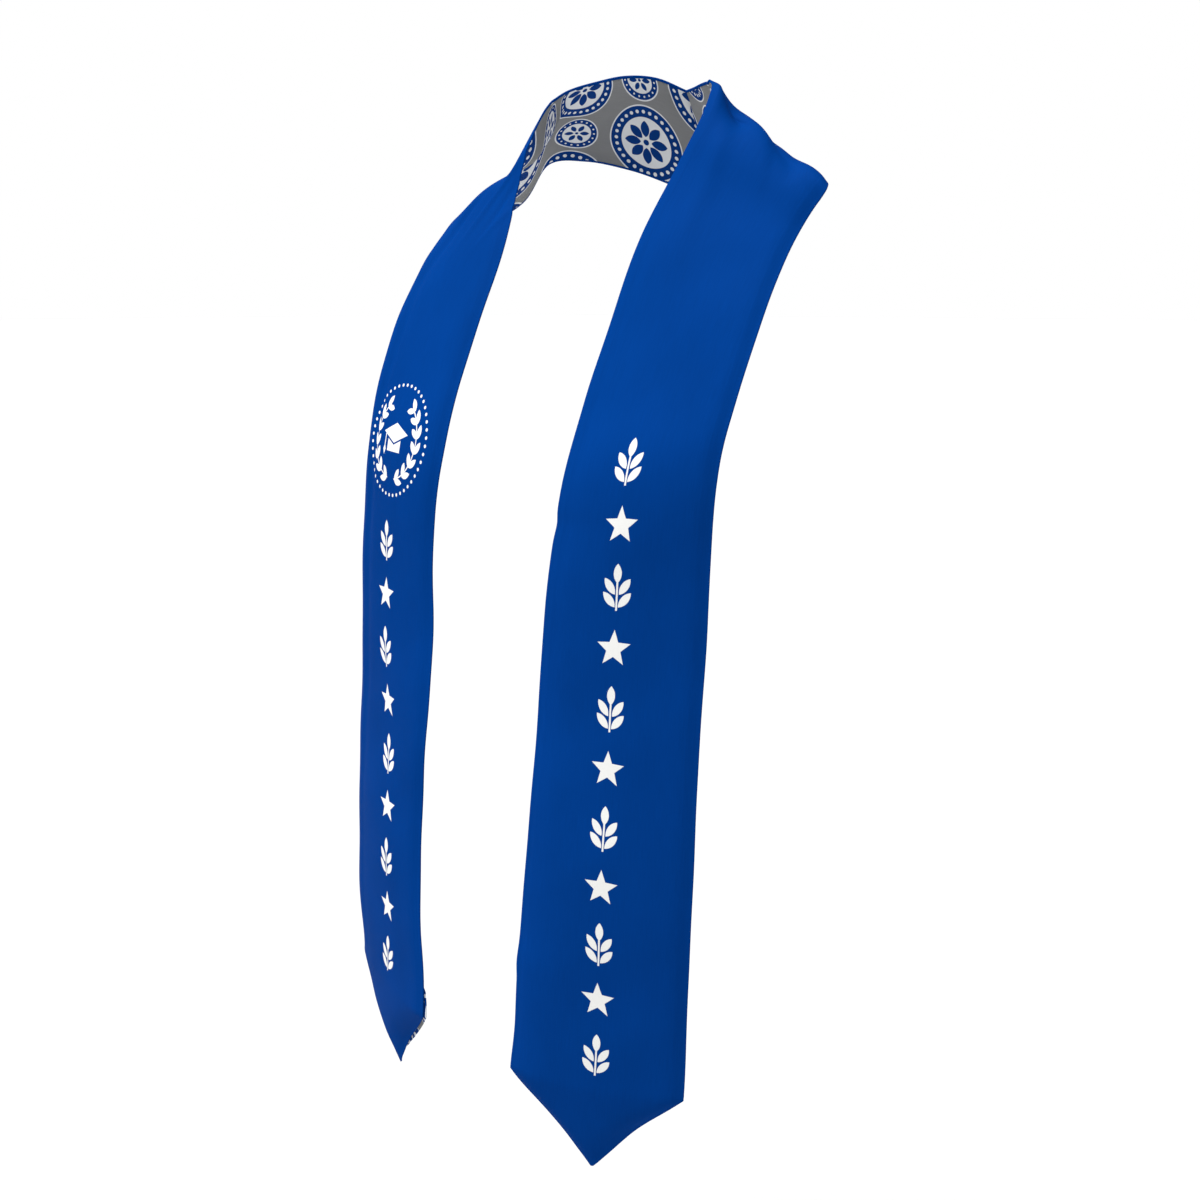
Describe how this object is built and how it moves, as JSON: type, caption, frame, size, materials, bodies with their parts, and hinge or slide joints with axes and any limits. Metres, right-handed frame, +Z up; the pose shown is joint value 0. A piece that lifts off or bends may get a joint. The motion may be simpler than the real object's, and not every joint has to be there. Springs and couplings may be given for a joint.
{
  "type": "graduation stole",
  "caption": "Satin graduation stole shaped as worn: a lined band round an open neck, sewn at the centre back, with two long fronts that hang down and end in points.",
  "frame": {"origin": "the middle of the neck, level with the tops of the shoulders", "axes": "+Z up, -Y the way the wearer faces, +X the wearer's left"},
  "size_m": [0.3599, 0.2781, 0.765],
  "materials": {
    "satin": "royal blue polyester satin with a soft sheen",
    "lining": "plain woven grey lining with a printed repeat"
  },
  "bodies": {
    "root": {"shell_left": "satin", "shell_right": "satin", "lining_left": "lining", "lining_right": "lining"}
  },
  "joints": []
}
